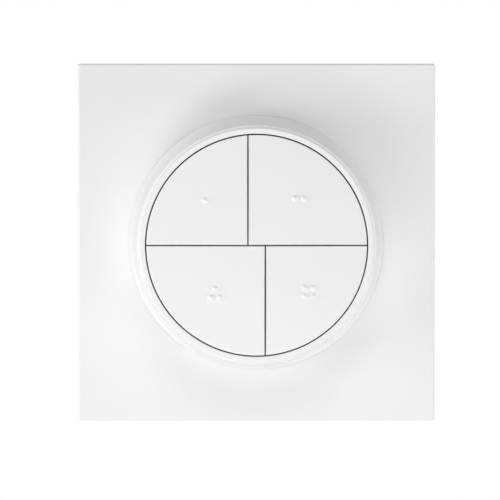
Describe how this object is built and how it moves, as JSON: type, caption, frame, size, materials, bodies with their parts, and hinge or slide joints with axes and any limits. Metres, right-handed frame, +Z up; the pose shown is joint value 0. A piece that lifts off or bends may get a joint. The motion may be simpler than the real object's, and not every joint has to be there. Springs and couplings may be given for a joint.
{
  "type": "dial wall switch",
  "caption": "Square wall plate carrying a round magnet-held puck, with dotted push buttons inside a flared turning dial.",
  "frame": {"origin": "centre of the back face, on the wall", "axes": "+Z up the wall, +X to the right as seen from the front, -Y out of the wall towards the user"},
  "size_m": [0.08, 0.0237, 0.08],
  "materials": {
    "white_plastic": "fine satin white",
    "dial_plastic": "fine satin white",
    "button_plastic": "fine matte white",
    "base_plastic": "matte off-white",
    "bracket_plastic": "matte light grey",
    "foam_tape": "soft foam",
    "foot_rubber": "matte",
    "keeper_steel": "zinc plated",
    "magnet_nickel": "nickel plated",
    "screw_steel": "zinc plated",
    "cell_steel": "bright steel can",
    "contact_brass": "plated spring sheet",
    "board_green": "solder mask",
    "shield_steel": "tinned",
    "chip_black": "moulded black",
    "switch_plastic": "moulded dark grey",
    "frame_black": "matte black",
    "glide_acetal": "natural acetal",
    "pole_ferrite": "bonded ferrite"
  },
  "bodies": {
    "wall_mount": {"wall_plate": "white_plastic", "mounting_bracket": "bracket_plastic", "keeper_disc": "keeper_steel", "adhesive_pads": "foam_tape"},
    "puck": {"puck_base": "base_plastic", "foot_ring": "foot_rubber", "holding_magnets": "magnet_nickel", "housing_screws": "screw_steel", "coin_cell": "cell_steel", "positive_contact": "contact_brass", "negative_contact": "contact_brass", "circuit_board": "board_green", "radio_module": "shield_steel", "board_chips": "chip_black", "dial_sensors": "chip_black", "switch_1": "switch_plastic", "switch_2": "switch_plastic", "switch_3": "switch_plastic", "switch_4": "switch_plastic", "key_frame": "frame_black", "glide_ring": "glide_acetal"},
    "dial": {"dial_sleeve": "dial_plastic", "trim_ring": "dial_plastic", "pole_ring": "pole_ferrite"},
    "door": {"battery_door": "base_plastic"},
    "key_1": {"button_1": "button_plastic", "switch_stem_1": "chip_black"},
    "key_2": {"button_2": "button_plastic", "switch_stem_2": "chip_black"},
    "key_3": {"button_3": "button_plastic", "switch_stem_3": "chip_black"},
    "key_4": {"button_4": "button_plastic", "switch_stem_4": "chip_black"}
  },
  "joints": [
    {"name": "puck_lift", "type": "slide", "parent": "wall_mount", "child": "puck", "axis": [0, -1, 0], "range_m": [0, 0.03]},
    {"name": "dial_turn", "type": "hinge", "parent": "puck", "child": "dial", "pos_m": [0, -0.012, 0], "axis": [0, -1, 0], "continuous": true},
    {"name": "door_turn", "type": "hinge", "parent": "puck", "child": "door", "pos_m": [0, -0.005, 0], "axis": [0, -1, 0], "range_deg": [0, 45]},
    {"name": "press_1", "type": "slide", "parent": "puck", "child": "key_1", "axis": [0, 1, 0], "range_m": [0, 0.0006], "stiffness_N_per_m": 800, "springref_m": -0.0015},
    {"name": "press_2", "type": "slide", "parent": "puck", "child": "key_2", "axis": [0, 1, 0], "range_m": [0, 0.0006], "stiffness_N_per_m": 800, "springref_m": -0.0015},
    {"name": "press_3", "type": "slide", "parent": "puck", "child": "key_3", "axis": [0, 1, 0], "range_m": [0, 0.0006], "stiffness_N_per_m": 800, "springref_m": -0.0015},
    {"name": "press_4", "type": "slide", "parent": "puck", "child": "key_4", "axis": [0, 1, 0], "range_m": [0, 0.0006], "stiffness_N_per_m": 800, "springref_m": -0.0015}
  ]
}
